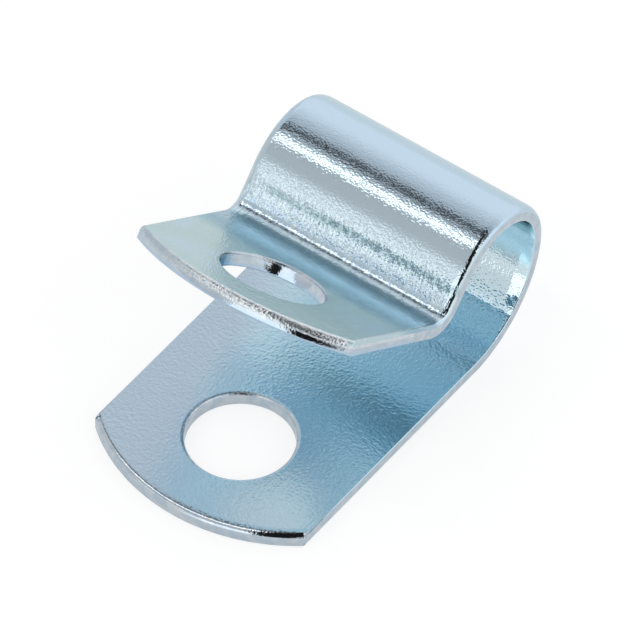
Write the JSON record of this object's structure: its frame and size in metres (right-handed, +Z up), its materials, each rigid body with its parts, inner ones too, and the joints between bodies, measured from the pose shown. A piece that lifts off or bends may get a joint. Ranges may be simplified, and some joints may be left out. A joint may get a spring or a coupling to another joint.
{
  "type": "p clip",
  "caption": "Folded sheet steel P clip that holds a cable or small pipe in its loop, with a round-ended leg and a sprung tab that are both punched for the fixing screw.",
  "frame": {"origin": "middle of the leg's hole, on the underside of the leg", "axes": "+Z up from the surface that the leg is screwed to, +Y along the leg from its hole to the loop, +X across the strap along the axis of the loop"},
  "size_m": [0.015, 0.0255, 0.0149],
  "materials": {
    "plated_steel": "bright zinc plating with a clear blue passivation, lightly dimpled"
  },
  "bodies": {
    "root": {"strap": "plated_steel"}
  },
  "joints": []
}
